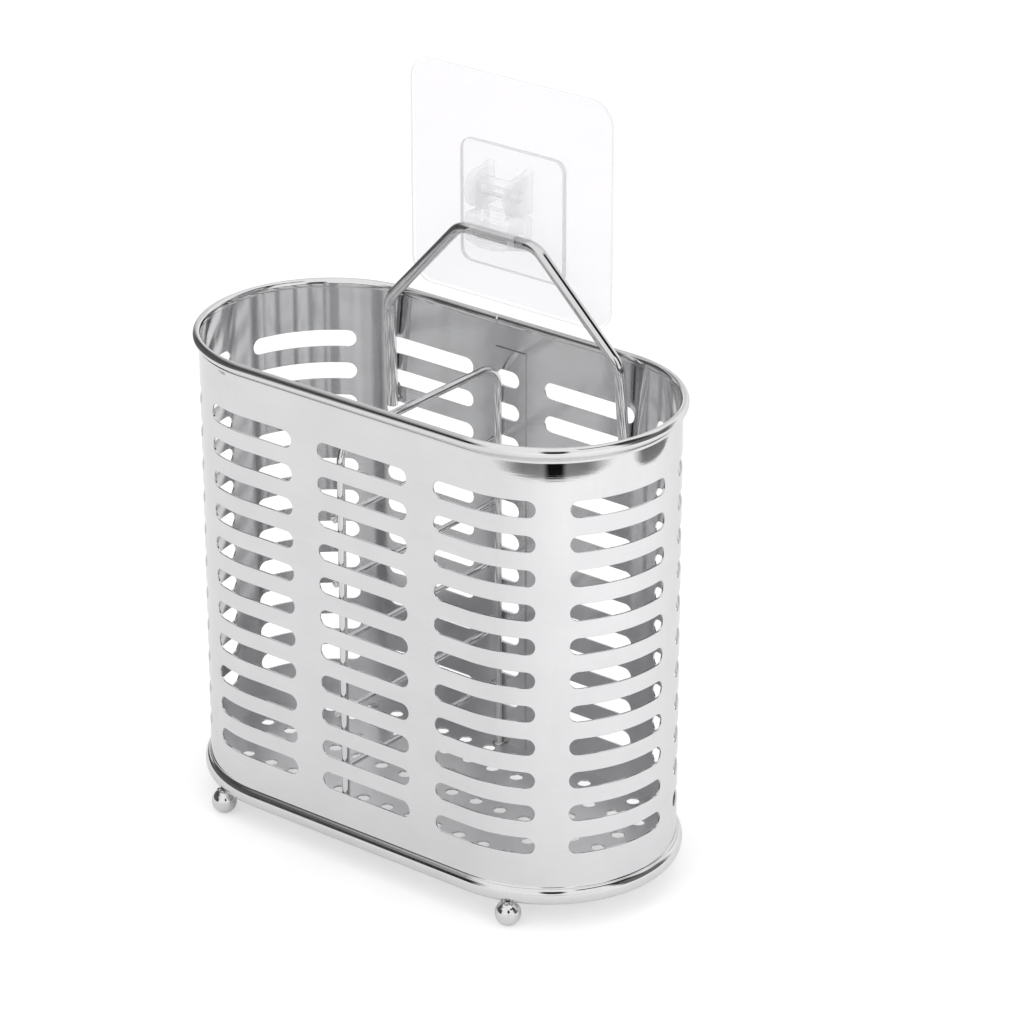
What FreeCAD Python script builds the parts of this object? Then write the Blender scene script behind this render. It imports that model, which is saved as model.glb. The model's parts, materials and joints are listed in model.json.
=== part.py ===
import FreeCAD, Part
import math
import os

import Sketcher
from FreeCAD import Placement, Rotation, Vector

# A hanging cutlery rack: an oval slotted wall on a perforated floor with ball feet, a wire divider,
# and a bent wire bail whose top bar is held by a clear adhesive wall hook with a turning latch.
# X runs along the rack, the wall that it hangs on is at +Y, and the ball feet stand on Z = 0.

# Driving sizes in millimetres, angles in degrees.
SIZES = {
    # Plan of the wall: straight sides and round ends, measured on the outside of the sheet.
    "end_radius": 40.0,
    "half_straight": 43.8,
    "sheet_thick": 0.6,
    # Ball feet under the rolled edge of the floor.
    "foot_radius": 4.05,
    "foot_sink": 0.4,
    "foot_angle": 20.6,
    # Floor with its rolled edge.
    "base_width": 2.5,
    "base_height": 5.2,
    "floor_thick": 0.6,
    "floor_lift": 0.2,
    "hole_radius": 2.0,
    "hole_pitch_x": 9.76,
    "hole_pitch_y": 10.3,
    "hole_shift_x": 2.9,
    "hole_shift_y": 2.6,
    "hole_margin": 1.6,
    # Rolled rim, measured from the middle of the base roll to the middle of the rim.
    "wall_rise": 146.6,
    "rim_width": 2.4,
    "rim_height": 5.2,
    # Overlap strip where the sheet is joined at the back.
    "lap_center": -2.2,
    "lap_width": 11.6,
    "lap_thick": 0.5,
    # Slots through the wall.
    "slot_length": 35.0,
    "slot_height": 5.5,
    "slot_columns": 9,
    "slot_rows": 11,
    "slot_shift": 3.4,
    "slot_drop": 17.7,
    "slot_floor_gap": 16.9,
    "seam_share": 18.3,
    "seam_slot_length": 9.0,
    # Divider: a bent arch with cross wires welded to one side of it.
    "arch_wire_radius": 1.25,
    "arch_center": -6.2,
    "arch_rise": 133.6,
    "arch_bend": 8.0,
    "cross_radius": 0.95,
    "cross_rise_one": 20.9,
    "cross_rise_two": 40.8,
    "cross_rise_three": 64.9,
    "cross_rise_four": 85.3,
    "cross_rise_five": 106.8,
    # Bail at the back: its foot and bar are measured from the middle of the rim.
    "back_center": -2.5,
    "bail_wire_radius": 1.8,
    "bail_wall_gap": 0.05,
    "bail_foot_drop": 37.8,
    "bail_foot_length": 8.0,
    "bail_foot_half": 46.6,
    "bail_shoulder_half": 45.6,
    "bail_shoulder_drop": 32.1,
    "bail_bar_half": 15.0,
    "bail_bar_rise": 32.0,
    "bail_lean": 4.0,
    "bail_bend": 8.0,
    # Wall hook: heights are measured from the middle of the bail's bar.
    "wall_gap": 0.8,
    "film_thick": 0.3,
    "film_inset": 1.0,
    "pad_thick": 1.0,
    "pad_width": 79.0,
    "pad_height": 74.5,
    "pad_shift": -2.0,
    "pad_rise": 11.1,
    "pad_corner": 8.0,
    "plate_thick": 2.0,
    "plate_width": 40.5,
    "plate_height": 40.5,
    "plate_rise": 6.2,
    "plate_corner": 4.0,
    "plate_round": 0.6,
    "trough_gap": 0.3,
    "trough_width": 16.5,
    "trough_depth": 5.8,
    "lip_reach": 5.7,
    "lip_height": 3.2,
    "tongue_drop": 1.7,
    "tongue_thick": 4.0,
    "stop_gap": 0.5,
    "stop_rise": 6.5,
    "pivot_back": 0.6,
    "pivot_rise": 14.3,
    "ear_radius": 6.2,
    "ear_gap": 12.4,
    "ear_thick": 2.6,
    "gusset_rise": 1.2,
    "gusset_reach": 4.0,
    # Latch between the ears and its pin.
    "pin_radius": 1.5,
    "latch_bore_gap": 0.05,
    "latch_side_gap": 0.3,
    "latch_lip_gap": 0.3,
    "latch_ear_gap": 0.5,
    "barrel_radius": 4.2,
    "block_width": 17.0,
    "block_front": 5.7,
    "block_back": 1.9,
    "block_round": 2.2,
    # Share of half a thickness that a rounded edge takes, just short of a full round.
    "round_share": 0.96,
    # How far cutting tools stand past what they cut.
    "tool_reach": 1.5,
}

# Places that follow from the sizes, each an expression over the sheet.
PLACES = {
    "inner_radius": "Dims.end_radius - Dims.sheet_thick",
    "perimeter": "4 * Dims.half_straight + 2 * pi * Dims.end_radius",
    "base_bottom": "2 * Dims.foot_radius - Dims.foot_sink",
    "base_level": "Places.base_bottom + Dims.base_height / 2",
    "floor_top": "Places.base_level + Dims.floor_lift",
    "rim_level": "Places.base_level + Dims.wall_rise",
    "base_middle": "Places.inner_radius + Dims.base_width / 2",
    "foot_x": "Dims.half_straight + Places.base_middle * sin(Dims.foot_angle)",
    "foot_y": "Places.base_middle * cos(Dims.foot_angle)",
    "lap_face": "Places.inner_radius - Dims.lap_thick",
    "cross_x": "Dims.arch_center - Dims.arch_wire_radius - Dims.cross_radius",
    "bail_foot_level": "Places.rim_level - Dims.bail_foot_drop",
    "bail_turn_level": "Places.bail_foot_level + Dims.bail_foot_length",
    "bail_round": "Places.inner_radius - Dims.bail_wire_radius - Dims.bail_wall_gap",
    "bail_past_end": "max(0; Dims.bail_foot_half + abs(Dims.back_center) - Dims.half_straight)",
    "bail_foot_y": "sqrt(Places.bail_round ^ 2 - Places.bail_past_end ^ 2)",
    "bar_z": "Places.rim_level + Dims.bail_bar_rise",
    "bar_y": "Places.bail_foot_y - (Places.bar_z - Places.bail_turn_level) * tan(Dims.bail_lean)",
    "shoulder_z": "Places.bar_z - Dims.bail_shoulder_drop",
    "shoulder_y": "Places.bail_foot_y - (Places.shoulder_z - Places.bail_turn_level) * tan(Dims.bail_lean)",
    "film_back": "Places.inner_radius + Dims.rim_width + Dims.wall_gap - Places.bar_y",
    "pad_back": "Places.film_back - Dims.film_thick",
    "plate_back": "Places.pad_back - Dims.pad_thick",
    "plate_front": "Places.plate_back - Dims.plate_thick",
    "trough_radius": "Dims.bail_wire_radius + Dims.trough_gap",
    "lip_foot": "Places.trough_radius - Dims.lip_height",
    "tongue_radius": "(Dims.trough_width ^ 2 / 4 + Dims.tongue_drop ^ 2) / (2 * Dims.tongue_drop)",
    "ear_span": "Dims.ear_gap + 2 * Dims.ear_thick",
    "latch_width": "Dims.ear_gap - 2 * Dims.latch_side_gap",
    "latch_foot": "Places.trough_radius + Dims.latch_lip_gap",
    "latch_back": "Dims.pivot_back + Dims.block_back",
    "latch_top": "Dims.pivot_rise - Dims.ear_radius - Dims.latch_ear_gap",
}

doc = FreeCAD.newDocument("CutleryRack")

dims = doc.addObject("Spreadsheet::Sheet", "Dims")
for row, (alias, number) in enumerate(SIZES.items(), start=1):
    dims.set(f"A{row}", alias)
    dims.set(f"B{row}", str(number))
    dims.setAlias(f"B{row}", alias)
doc.recompute()

places = doc.addObject("App::VarSet", "Places")
for name in PLACES:
    places.addProperty("App::PropertyFloat", name, "Places")
for name, expression in PLACES.items():
    places.setExpression(name, expression)
doc.recompute()


def size(alias):
    """A driving size, read from the sheet."""
    return float(dims.get(alias))


def place(name):
    """A place that follows from the sizes."""
    return float(getattr(places, name))


def bind(item, **expressions):
    """Bind an object's properties to expressions over the sheet."""
    for name, expression in expressions.items():
        item.setExpression(name, expression)
    return item


def put(item, x="0", y="0", z="0"):
    """Bind an object's position."""
    for axis, expression in (("x", x), ("y", y), ("z", z)):
        item.setExpression("Placement.Base." + axis, expression)
    return item


# Sketches and features of the bodies.

def new_body(label):
    return doc.addObject("PartDesign::Body", label)


def new_sketch(body, name, role, offset="0"):
    """A sketch on one of the body's own origin planes, moved along that plane's normal."""
    plane = next(item for item in body.Origin.OriginFeatures if item.Role == role)
    sketch = body.newObject("Sketcher::SketchObject", f"{body.Label}_{name}")
    sketch.AttachmentSupport = [(plane, "")]
    sketch.MapMode = "FlatFace"
    sketch.setExpression("AttachmentOffset.Base.z", offset)
    return sketch


def dimension(sketch, expression, kind, *where):
    """A named sketch dimension bound to an expression."""
    index = sketch.addConstraint(Sketcher.Constraint(kind, *where))
    name = f"{kind}_{index}"
    sketch.renameConstraint(index, name)
    sketch.setExpression("Constraints." + name, expression)


def locate(sketch, geometry, point, x, y):
    """Tie one point of the sketch to the origin along both axes, from where it was drawn."""
    drawn = sketch.getPoint(geometry, point)
    dimension(sketch, x, "DistanceX", -1, 1, geometry, point, drawn.x)
    dimension(sketch, y, "DistanceY", -1, 1, geometry, point, drawn.y)


def draw_polygon(sketch, corners):
    """A closed outline whose corners are pairs of expressions, drawn near a regular polygon first."""
    count = len(corners)
    turns = [2 * math.pi * step / count for step in range(count)]
    drafts = [Vector(math.cos(turn), math.sin(turn), 0) for turn in turns]
    lines = [
        sketch.addGeometry(Part.LineSegment(drafts[step], drafts[(step + 1) % count]), False)
        for step in range(count)
    ]
    for step in range(count):
        sketch.addConstraint(Sketcher.Constraint("Coincident", lines[step], 2, lines[(step + 1) % count], 1))
    for line, (x, y) in zip(lines, corners):
        locate(sketch, line, 1, x, y)
    return lines


def draw_rectangle(sketch, x_low, x_high, y_low, y_high):
    return draw_polygon(sketch, [(x_low, y_low), (x_high, y_low), (x_high, y_high), (x_low, y_high)])


def draw_circle(sketch, x, y, radius):
    circle = sketch.addGeometry(Part.Circle(Vector(0, 0, 0), Vector(0, 0, 1), 1.0), False)
    locate(sketch, circle, 3, x, y)
    dimension(sketch, radius, "Radius", circle, 1.0)
    return circle


def draw_oval(sketch, radius):
    """The rack's plan: two straight sides with a half circle at each end."""
    half = size("half_straight")
    draft = size("end_radius")
    up = Vector(0, 0, 1)
    quarter = math.pi / 2
    back = sketch.addGeometry(Part.LineSegment(Vector(-half, draft, 0), Vector(half, draft, 0)), False)
    right_circle = Part.Circle(Vector(half, 0, 0), up, draft)
    right = sketch.addGeometry(Part.ArcOfCircle(right_circle, -quarter, quarter), False)
    front = sketch.addGeometry(Part.LineSegment(Vector(half, -draft, 0), Vector(-half, -draft, 0)), False)
    left_circle = Part.Circle(Vector(-half, 0, 0), up, draft)
    left = sketch.addGeometry(Part.ArcOfCircle(left_circle, quarter, 3 * quarter), False)
    for one, one_end, other, other_end in (
        (back, 2, right, 2),
        (right, 1, front, 1),
        (front, 2, left, 2),
        (left, 1, back, 1),
    ):
        sketch.addConstraint(Sketcher.Constraint("Tangent", one, one_end, other, other_end))
    sketch.addConstraint(Sketcher.Constraint("Equal", right, left))
    sketch.addConstraint(Sketcher.Constraint("PointOnObject", right, 3, -1))
    sketch.addConstraint(Sketcher.Constraint("PointOnObject", left, 3, -1))
    dimension(sketch, "Dims.half_straight", "DistanceX", -1, 1, right, 3, half)
    dimension(sketch, "Dims.half_straight", "DistanceX", left, 3, -1, 1, half)
    dimension(sketch, radius, "Radius", right, draft)


def pad(body, sketch, length, symmetric=False):
    feature = body.newObject("PartDesign::Pad", sketch.Name + "_pad")
    feature.Profile = sketch
    feature.SideType = "Symmetric" if symmetric else "One side"
    feature.setExpression("Length", length)
    doc.recompute()
    return feature


def pocket(body, sketch, length):
    """A cut to both sides of its sketch, which has to take material away."""
    before = body.Shape.Volume
    feature = body.newObject("PartDesign::Pocket", sketch.Name + "_pocket")
    feature.Profile = sketch
    feature.SideType = "Symmetric"
    feature.setExpression("Length", length)
    doc.recompute()
    if body.Shape.Volume >= before:
        raise RuntimeError(f"{feature.Name} cut nothing")
    return feature


def round_edges(body, wanted, radius, name):
    """Round the edges of the body's last feature that the test picks."""
    base = body.Tip
    names = [f"Edge{number}" for number, edge in enumerate(base.Shape.Edges, start=1) if wanted(edge)]
    if not names:
        raise RuntimeError(f"{name} found no edge")
    feature = body.newObject("PartDesign::Fillet", f"{body.Label}_{name}")
    feature.Base = (base, names)
    feature.setExpression("Radius", radius)
    doc.recompute()
    return feature


NEAR = 1e-4


def is_level(edge, level):
    box = edge.BoundBox
    return abs(box.ZMin - level) < NEAR and abs(box.ZMax - level) < NEAR


def is_at_depth(depth):
    def test(edge):
        box = edge.BoundBox
        return abs(box.YMin - depth) < NEAR and abs(box.YMax - depth) < NEAR
    return test


def is_along_y(edge):
    box = edge.BoundBox
    return box.XLength < NEAR and box.ZLength < NEAR and box.YLength > NEAR


def is_along_x_at_depth(depth):
    def test(edge):
        return is_at_depth(depth)(edge) and edge.BoundBox.ZLength < NEAR
    return test


def oval_distance(point):
    """How far a point lies from the line that joins the centres of the two round ends."""
    past_end = max(0.0, abs(point.x) - size("half_straight"))
    return math.hypot(past_end, point.y)


def crosses_sheet(edge):
    """Whether an edge runs from the inside of the oval to the outside."""
    first, last = (vertex.Point for vertex in edge.Vertexes)
    return abs(oval_distance(first) - oval_distance(last)) > NEAR


def is_oval_edge(level, radius):
    def test(edge):
        middle = edge.valueAt((edge.FirstParameter + edge.LastParameter) / 2)
        return is_level(edge, level) and abs(oval_distance(middle) - radius) < NEAR
    return test


def any_of(*tests):
    return lambda edge: any(test(edge) for test in tests)


def roll(body, name, level, width, height):
    """A rolled edge round the rack, from the inside of the sheet outwards."""
    sketch = new_sketch(body, name, "XY_Plane", f"{level} - {height} / 2")
    draw_oval(sketch, f"Places.inner_radius + {width}")
    draw_oval(sketch, "Places.inner_radius")
    return pad(body, sketch, height)


# The wall: sheet, rolled rim and overlap strip, then the slots.

shell = new_body("shell")
sheet_plan = new_sketch(shell, "sheet", "XY_Plane", "Places.floor_top")
draw_oval(sheet_plan, "Dims.end_radius")
draw_oval(sheet_plan, "Places.inner_radius")
pad(shell, sheet_plan, "Places.rim_level - Places.floor_top")
roll(shell, "rim", "Places.rim_level", "Dims.rim_width", "Dims.rim_height")
rim_top = place("rim_level") + size("rim_height") / 2
rim_foot = place("rim_level") - size("rim_height") / 2
rim_outside = place("inner_radius") + size("rim_width")
round_edges(
    shell,
    any_of(
        is_oval_edge(rim_top, rim_outside),
        is_oval_edge(rim_top, place("inner_radius")),
        is_oval_edge(rim_foot, rim_outside),
    ),
    "Dims.round_share * Dims.rim_width / 2",
    "rim_round",
)
lap_plan = new_sketch(shell, "lap", "XY_Plane", "Places.floor_top")
draw_rectangle(
    lap_plan,
    "Dims.lap_center - Dims.lap_width / 2",
    "Dims.lap_center + Dims.lap_width / 2",
    "Places.lap_face",
    "Places.inner_radius + Dims.sheet_thick / 2",
)
pad(shell, lap_plan, "Places.rim_level - Places.floor_top")


def oval_point(along, radius):
    """The point at a distance along the sheet from the middle of the front, towards +X."""
    half = size("half_straight")
    arc = math.pi * size("end_radius")
    along = along % place("perimeter")
    if along <= half:
        return Vector(along, -radius, 0)
    along -= half
    if along <= arc:
        turn = along / size("end_radius")
        return Vector(half + radius * math.sin(turn), -radius * math.cos(turn), 0)
    along -= arc
    if along <= 2 * half:
        return Vector(half - along, radius, 0)
    along -= 2 * half
    if along <= arc:
        turn = along / size("end_radius")
        return Vector(-half - radius * math.sin(turn), radius * math.cos(turn), 0)
    return Vector(along - arc - half, -radius, 0)


def oval_edges(start, end, radius):
    """Lines and arcs along the oval between two distances."""
    half = size("half_straight")
    arc = math.pi * size("end_radius")
    round_trip = place("perimeter")
    corners = [half, half + arc, 3 * half + arc, 3 * half + 2 * arc]
    joints = [corner + lap * round_trip for lap in (-1, 0, 1) for corner in corners]
    stops = [start] + sorted(joint for joint in joints if start + NEAR < joint < end - NEAR) + [end]
    edges = []
    for low, high in zip(stops, stops[1:]):
        middle = oval_point((low + high) / 2, radius)
        first = oval_point(low, radius)
        last = oval_point(high, radius)
        if abs(middle.x) > half:
            edges.append(Part.Arc(first, middle, last).toShape())
        else:
            edges.append(Part.LineSegment(first, last).toShape())
    return edges


def slot_tool(center, length):
    """A bar along the sheet, rounded at both ends, that cuts one slot."""
    inner = place("lap_face") - size("tool_reach")
    outer = size("end_radius") + size("tool_reach")
    start = center - length / 2
    end = center + length / 2
    inner_run = oval_edges(start, end, inner)
    outer_run = oval_edges(start, end, outer)
    first_cap = Part.LineSegment(oval_point(start, inner), oval_point(start, outer)).toShape()
    last_cap = Part.LineSegment(oval_point(end, inner), oval_point(end, outer)).toShape()
    outline = Part.Wire(Part.__sortEdges__(inner_run + [last_cap] + outer_run + [first_cap]))
    height = size("slot_height")
    bar = Part.Face(outline).extrude(Vector(0, 0, height))
    bar.translate(Vector(0, 0, -height / 2))
    end_edges = [edge for edge in bar.Edges if crosses_sheet(edge)]
    return bar.makeFillet(size("round_share") * height / 2, end_edges)


columns = int(size("slot_columns"))
rows = int(size("slot_rows"))
slot_pitch = (place("perimeter") - size("seam_share")) / columns
top_row = place("rim_level") - size("slot_drop")
bottom_row = place("floor_top") + size("slot_floor_gap")
row_pitch = (top_row - bottom_row) / (rows - 1)
row_tools = [
    slot_tool(size("slot_shift") + (column - (columns - 1) / 2) * slot_pitch, size("slot_length"))
    for column in range(columns)
]
row_tools.append(slot_tool(size("slot_shift") + place("perimeter") / 2, size("seam_slot_length")))
slot_copies = []
for row in range(rows):
    for tool in row_tools:
        copy = tool.copy()
        copy.translate(Vector(0, 0, bottom_row + row * row_pitch))
        slot_copies.append(copy)
slots = doc.addObject("Part::Feature", "slots")
slots.Shape = Part.makeCompound(slot_copies)

wall_sheet = doc.addObject("Part::Cut", "wall_sheet")
wall_sheet.Base = shell
wall_sheet.Tool = slots

# The floor: a perforated plate with a rolled edge that takes the sheet's lower edge.

pan = new_body("pan")
roll(pan, "edge", "Places.base_level", "Dims.base_width", "Dims.base_height")
base_top = place("base_level") + size("base_height") / 2
base_outside = place("inner_radius") + size("base_width")
round_edges(
    pan,
    any_of(
        is_oval_edge(base_top, base_outside),
        is_oval_edge(place("base_bottom"), base_outside),
        is_oval_edge(place("base_bottom"), place("inner_radius")),
    ),
    "Dims.round_share * Dims.base_width / 2",
    "edge_round",
)
plate_plan = new_sketch(pan, "plate", "XY_Plane", "Places.floor_top - Dims.floor_thick")
draw_oval(plate_plan, "Places.base_middle")
pad(pan, plate_plan, "Dims.floor_thick")

hole_reach = place("inner_radius") - size("hole_margin") - size("hole_radius")
hole_columns = math.ceil((size("half_straight") + hole_reach) / size("hole_pitch_x")) + 1
hole_rows = math.ceil(hole_reach / size("hole_pitch_y")) + 1
hole_depth = size("floor_thick") + 2 * size("tool_reach")
hole_foot = place("floor_top") - size("floor_thick") - size("tool_reach")
hole_tools = []
for column in range(-hole_columns, hole_columns + 1):
    for row in range(-hole_rows, hole_rows + 1):
        center = Vector(
            size("hole_shift_x") + column * size("hole_pitch_x"),
            size("hole_shift_y") + row * size("hole_pitch_y"),
            hole_foot,
        )
        if oval_distance(center) < hole_reach:
            hole_tools.append(Part.makeCylinder(size("hole_radius"), hole_depth, center))
holes = doc.addObject("Part::Feature", "holes")
holes.Shape = Part.makeCompound(hole_tools)

pierced = doc.addObject("Part::Cut", "pierced")
pierced.Base = pan
pierced.Tool = holes
floor_pan = doc.addObject("Part::Cut", "floor_pan")
floor_pan.Base = pierced
floor_pan.Tool = shell

# Ball feet, seated in the underside of the rolled edge.

feet = {}
for label, side_x, side_y in (
    ("foot_front_left", "-", "-"),
    ("foot_front_right", "", "-"),
    ("foot_back_left", "-", ""),
    ("foot_back_right", "", ""),
):
    ball = doc.addObject("Part::Sphere", label + "_ball")
    bind(ball, Radius="Dims.foot_radius")
    put(ball, f"{side_x}Places.foot_x", f"{side_y}Places.foot_y", "Dims.foot_radius")
    foot = doc.addObject("Part::Cut", label)
    foot.Base = ball
    foot.Tool = pan
    feet[label] = foot


# Bent wires: straight runs joined by tangent arcs.

def rounded_path(points, radius):
    """Straight runs through the points with an arc of one radius at each turn."""
    edges = []
    start = points[0]
    for before, corner, after in zip(points, points[1:], points[2:]):
        into = (corner - before).normalize()
        out = (after - corner).normalize()
        half_turn = into.getAngle(out) / 2
        trim = radius * math.tan(half_turn)
        arc_start = corner - into * trim
        arc_end = corner + out * trim
        inward = (out - into).normalize()
        arc_middle = corner + inward * (radius / math.cos(half_turn) - radius)
        edges.append(Part.LineSegment(start, arc_start).toShape())
        edges.append(Part.Arc(arc_start, arc_middle, arc_end).toShape())
        start = arc_end
    edges.append(Part.LineSegment(start, points[-1]).toShape())
    return Part.Wire(edges)


def bent_wire(label, points, bend, radius):
    """A round wire swept along a rounded path that starts by running up."""
    path = doc.addObject("Part::Feature", label + "_path")
    path.Shape = rounded_path(points, size(bend))
    profile = doc.addObject("Part::Circle", label + "_profile")
    bind(profile, Radius=radius)
    profile.Placement = Placement(points[0], Rotation())
    wire = doc.addObject("Part::Sweep", label)
    wire.Sections = [profile]
    wire.Spine = (path, [f"Edge{step + 1}" for step in range(len(path.Shape.Edges))])
    wire.Solid = True
    wire.Frenet = False
    return wire


arch_front = -(place("inner_radius") - size("arch_wire_radius"))
arch_back = place("lap_face") - size("arch_wire_radius")
arch_top = place("floor_top") + size("arch_rise")
divider_arch = bent_wire(
    "divider_arch",
    [
        Vector(size("arch_center"), arch_front, place("floor_top")),
        Vector(size("arch_center"), arch_front, arch_top),
        Vector(size("arch_center"), arch_back, arch_top),
        Vector(size("arch_center"), arch_back, place("floor_top")),
    ],
    "arch_bend",
    "Dims.arch_wire_radius",
)

cross_wires = {}
for number, word in enumerate(("one", "two", "three", "four", "five"), start=1):
    label = f"divider_wire_{number}"
    wire = doc.addObject("Part::Cylinder", label)
    bind(wire, Radius="Dims.cross_radius", Height="Places.inner_radius + Places.lap_face")
    wire.Placement = Placement(Vector(0, 0, 0), Rotation(Vector(1, 0, 0), -90))
    put(wire, "Places.cross_x", "-Places.inner_radius", f"Places.floor_top + Dims.cross_rise_{word}")
    cross_wires[label] = wire

bail_corners = [
    (size("bail_foot_half"), place("bail_foot_y"), place("bail_foot_level")),
    (size("bail_foot_half"), place("bail_foot_y"), place("bail_turn_level")),
    (size("bail_shoulder_half"), place("shoulder_y"), place("shoulder_z")),
    (size("bail_bar_half"), place("bar_y"), place("bar_z")),
]
right_half = [Vector(size("back_center") + half, y, z) for half, y, z in bail_corners]
left_half = [Vector(size("back_center") - half, y, z) for half, y, z in reversed(bail_corners)]
hanger_bail = bent_wire("hanger_bail", right_half + left_half, "bail_bend", "Dims.bail_wire_radius")


# The wall hook, drawn about the middle of the bail's bar: film, pad, plate with ears and trough, latch, pin.

def at_bar(body):
    return put(body, "Dims.back_center", "Places.bar_y", "Places.bar_z")


def upright_plate(body, name, back, thick, middle, width, height):
    """A flat plate parallel to the wall, from its back face forwards."""
    x, z = middle
    left, right = (f"{x} {sign} ({width}) / 2" for sign in "-+")
    bottom, top = (f"{z} {sign} ({height}) / 2" for sign in "-+")
    sketch = new_sketch(body, name, "XZ_Plane", f"-({back})")
    draw_rectangle(sketch, left, right, bottom, top)
    return pad(body, sketch, thick)


PAD_MIDDLE = ("Dims.pad_shift", "Dims.pad_rise")
PLATE_MIDDLE = ("0", "Dims.plate_rise")


adhesive_film = new_body("adhesive_film")
upright_plate(
    adhesive_film,
    "film",
    "Places.film_back",
    "Dims.film_thick",
    PAD_MIDDLE,
    "Dims.pad_width - 2 * Dims.film_inset",
    "Dims.pad_height - 2 * Dims.film_inset",
)
round_edges(adhesive_film, is_along_y, "Dims.pad_corner - Dims.film_inset", "corners")

wall_pad = new_body("wall_pad")
upright_plate(
    wall_pad, "pad", "Places.pad_back", "Dims.pad_thick", PAD_MIDDLE, "Dims.pad_width", "Dims.pad_height"
)
round_edges(wall_pad, is_along_y, "Dims.pad_corner", "corners")

hook_base = new_body("hook_base")
upright_plate(
    hook_base,
    "plate",
    "Places.plate_back",
    "Dims.plate_thick",
    PLATE_MIDDLE,
    "Dims.plate_width",
    "Dims.plate_height",
)
round_edges(hook_base, is_along_y, "Dims.plate_corner", "corners")
round_edges(hook_base, is_at_depth(place("plate_front")), "Dims.plate_round", "front_round")

ear_plan = new_sketch(hook_base, "ears", "YZ_Plane")
draw_circle(ear_plan, "Dims.pivot_back", "Dims.pivot_rise", "Dims.ear_radius")
pad(hook_base, ear_plan, "Places.ear_span", symmetric=True)
web_plan = new_sketch(hook_base, "webs", "YZ_Plane")
draw_rectangle(
    web_plan,
    "Dims.pivot_back",
    "Places.plate_back",
    "Dims.pivot_rise - Dims.ear_radius",
    "Dims.pivot_rise + Dims.ear_radius",
)
pad(hook_base, web_plan, "Places.ear_span", symmetric=True)
gusset_plan = new_sketch(hook_base, "gussets", "YZ_Plane")
gusset_top = "Dims.pivot_rise + Dims.ear_radius + Dims.gusset_rise"
gusset_foot = "Dims.pivot_rise + Dims.ear_radius"
draw_polygon(
    gusset_plan,
    [
        ("Places.plate_front - Dims.gusset_reach", gusset_foot),
        ("Places.plate_front - Dims.gusset_reach", "Dims.pivot_rise"),
        ("Places.plate_back", "Dims.pivot_rise"),
        ("Places.plate_back", gusset_top),
        ("Places.plate_front", gusset_top),
    ],
)
pad(hook_base, gusset_plan, "Places.ear_span", symmetric=True)
gap_plan = new_sketch(hook_base, "ear_gap", "YZ_Plane")
draw_rectangle(
    gap_plan,
    "Dims.pivot_back - Dims.ear_radius - Dims.tool_reach",
    "Places.plate_front",
    "Dims.pivot_rise - Dims.ear_radius - Dims.tool_reach",
    f"{gusset_top} + Dims.tool_reach",
)
pocket(hook_base, gap_plan, "Dims.ear_gap")
pin_hole_plan = new_sketch(hook_base, "pin_hole", "YZ_Plane")
draw_circle(pin_hole_plan, "Dims.pivot_back", "Dims.pivot_rise", "Dims.pin_radius")
pocket(hook_base, pin_hole_plan, "Places.ear_span + 2 * Dims.tool_reach")

trough_plan = new_sketch(hook_base, "trough", "YZ_Plane")
draw_polygon(
    trough_plan,
    [
        ("-Dims.lip_reach", "Places.lip_foot"),
        ("Places.plate_back", "-Dims.trough_depth"),
        ("Places.plate_back", "Dims.stop_rise"),
        ("Places.latch_back + Dims.stop_gap", "Dims.stop_rise"),
        ("Places.latch_back + Dims.stop_gap", "Places.trough_radius"),
        ("-Dims.lip_reach", "Places.trough_radius"),
    ],
)
pad(hook_base, trough_plan, "Dims.trough_width", symmetric=True)
tongue_plan = new_sketch(hook_base, "tongue", "XZ_Plane", "Dims.lip_reach - Dims.tongue_thick")
half_trough = size("trough_width") / 2
tongue_middle = Vector(0, place("lip_foot") - size("tongue_drop"), 0)
tongue_right = Vector(half_trough, place("lip_foot"), 0)
tongue_left = Vector(-half_trough, place("lip_foot"), 0)
chord = tongue_plan.addGeometry(Part.LineSegment(tongue_right, tongue_left), False)
belly = tongue_plan.addGeometry(Part.Arc(tongue_left, tongue_middle, tongue_right), False)
tongue_plan.addConstraint(Sketcher.Constraint("Coincident", chord, 2, belly, 1))
tongue_plan.addConstraint(Sketcher.Constraint("Coincident", chord, 1, belly, 2))
locate(tongue_plan, chord, 1, "Dims.trough_width / 2", "Places.lip_foot")
locate(tongue_plan, chord, 2, "-Dims.trough_width / 2", "Places.lip_foot")
dimension(tongue_plan, "Places.tongue_radius", "Radius", belly, place("tongue_radius"))
pad(hook_base, tongue_plan, "Dims.tongue_thick")
bore_plan = new_sketch(hook_base, "bore", "YZ_Plane")
draw_circle(bore_plan, "0", "0", "Places.trough_radius")
pocket(hook_base, bore_plan, "Dims.trough_width + 2 * Dims.tool_reach")
mouth_plan = new_sketch(hook_base, "mouth", "YZ_Plane")
draw_rectangle(
    mouth_plan, "-Places.trough_radius", "Places.trough_radius", "0", "Places.trough_radius + Dims.tool_reach"
)
pocket(hook_base, mouth_plan, "Dims.trough_width + 2 * Dims.tool_reach")
at_bar(hook_base)

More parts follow.
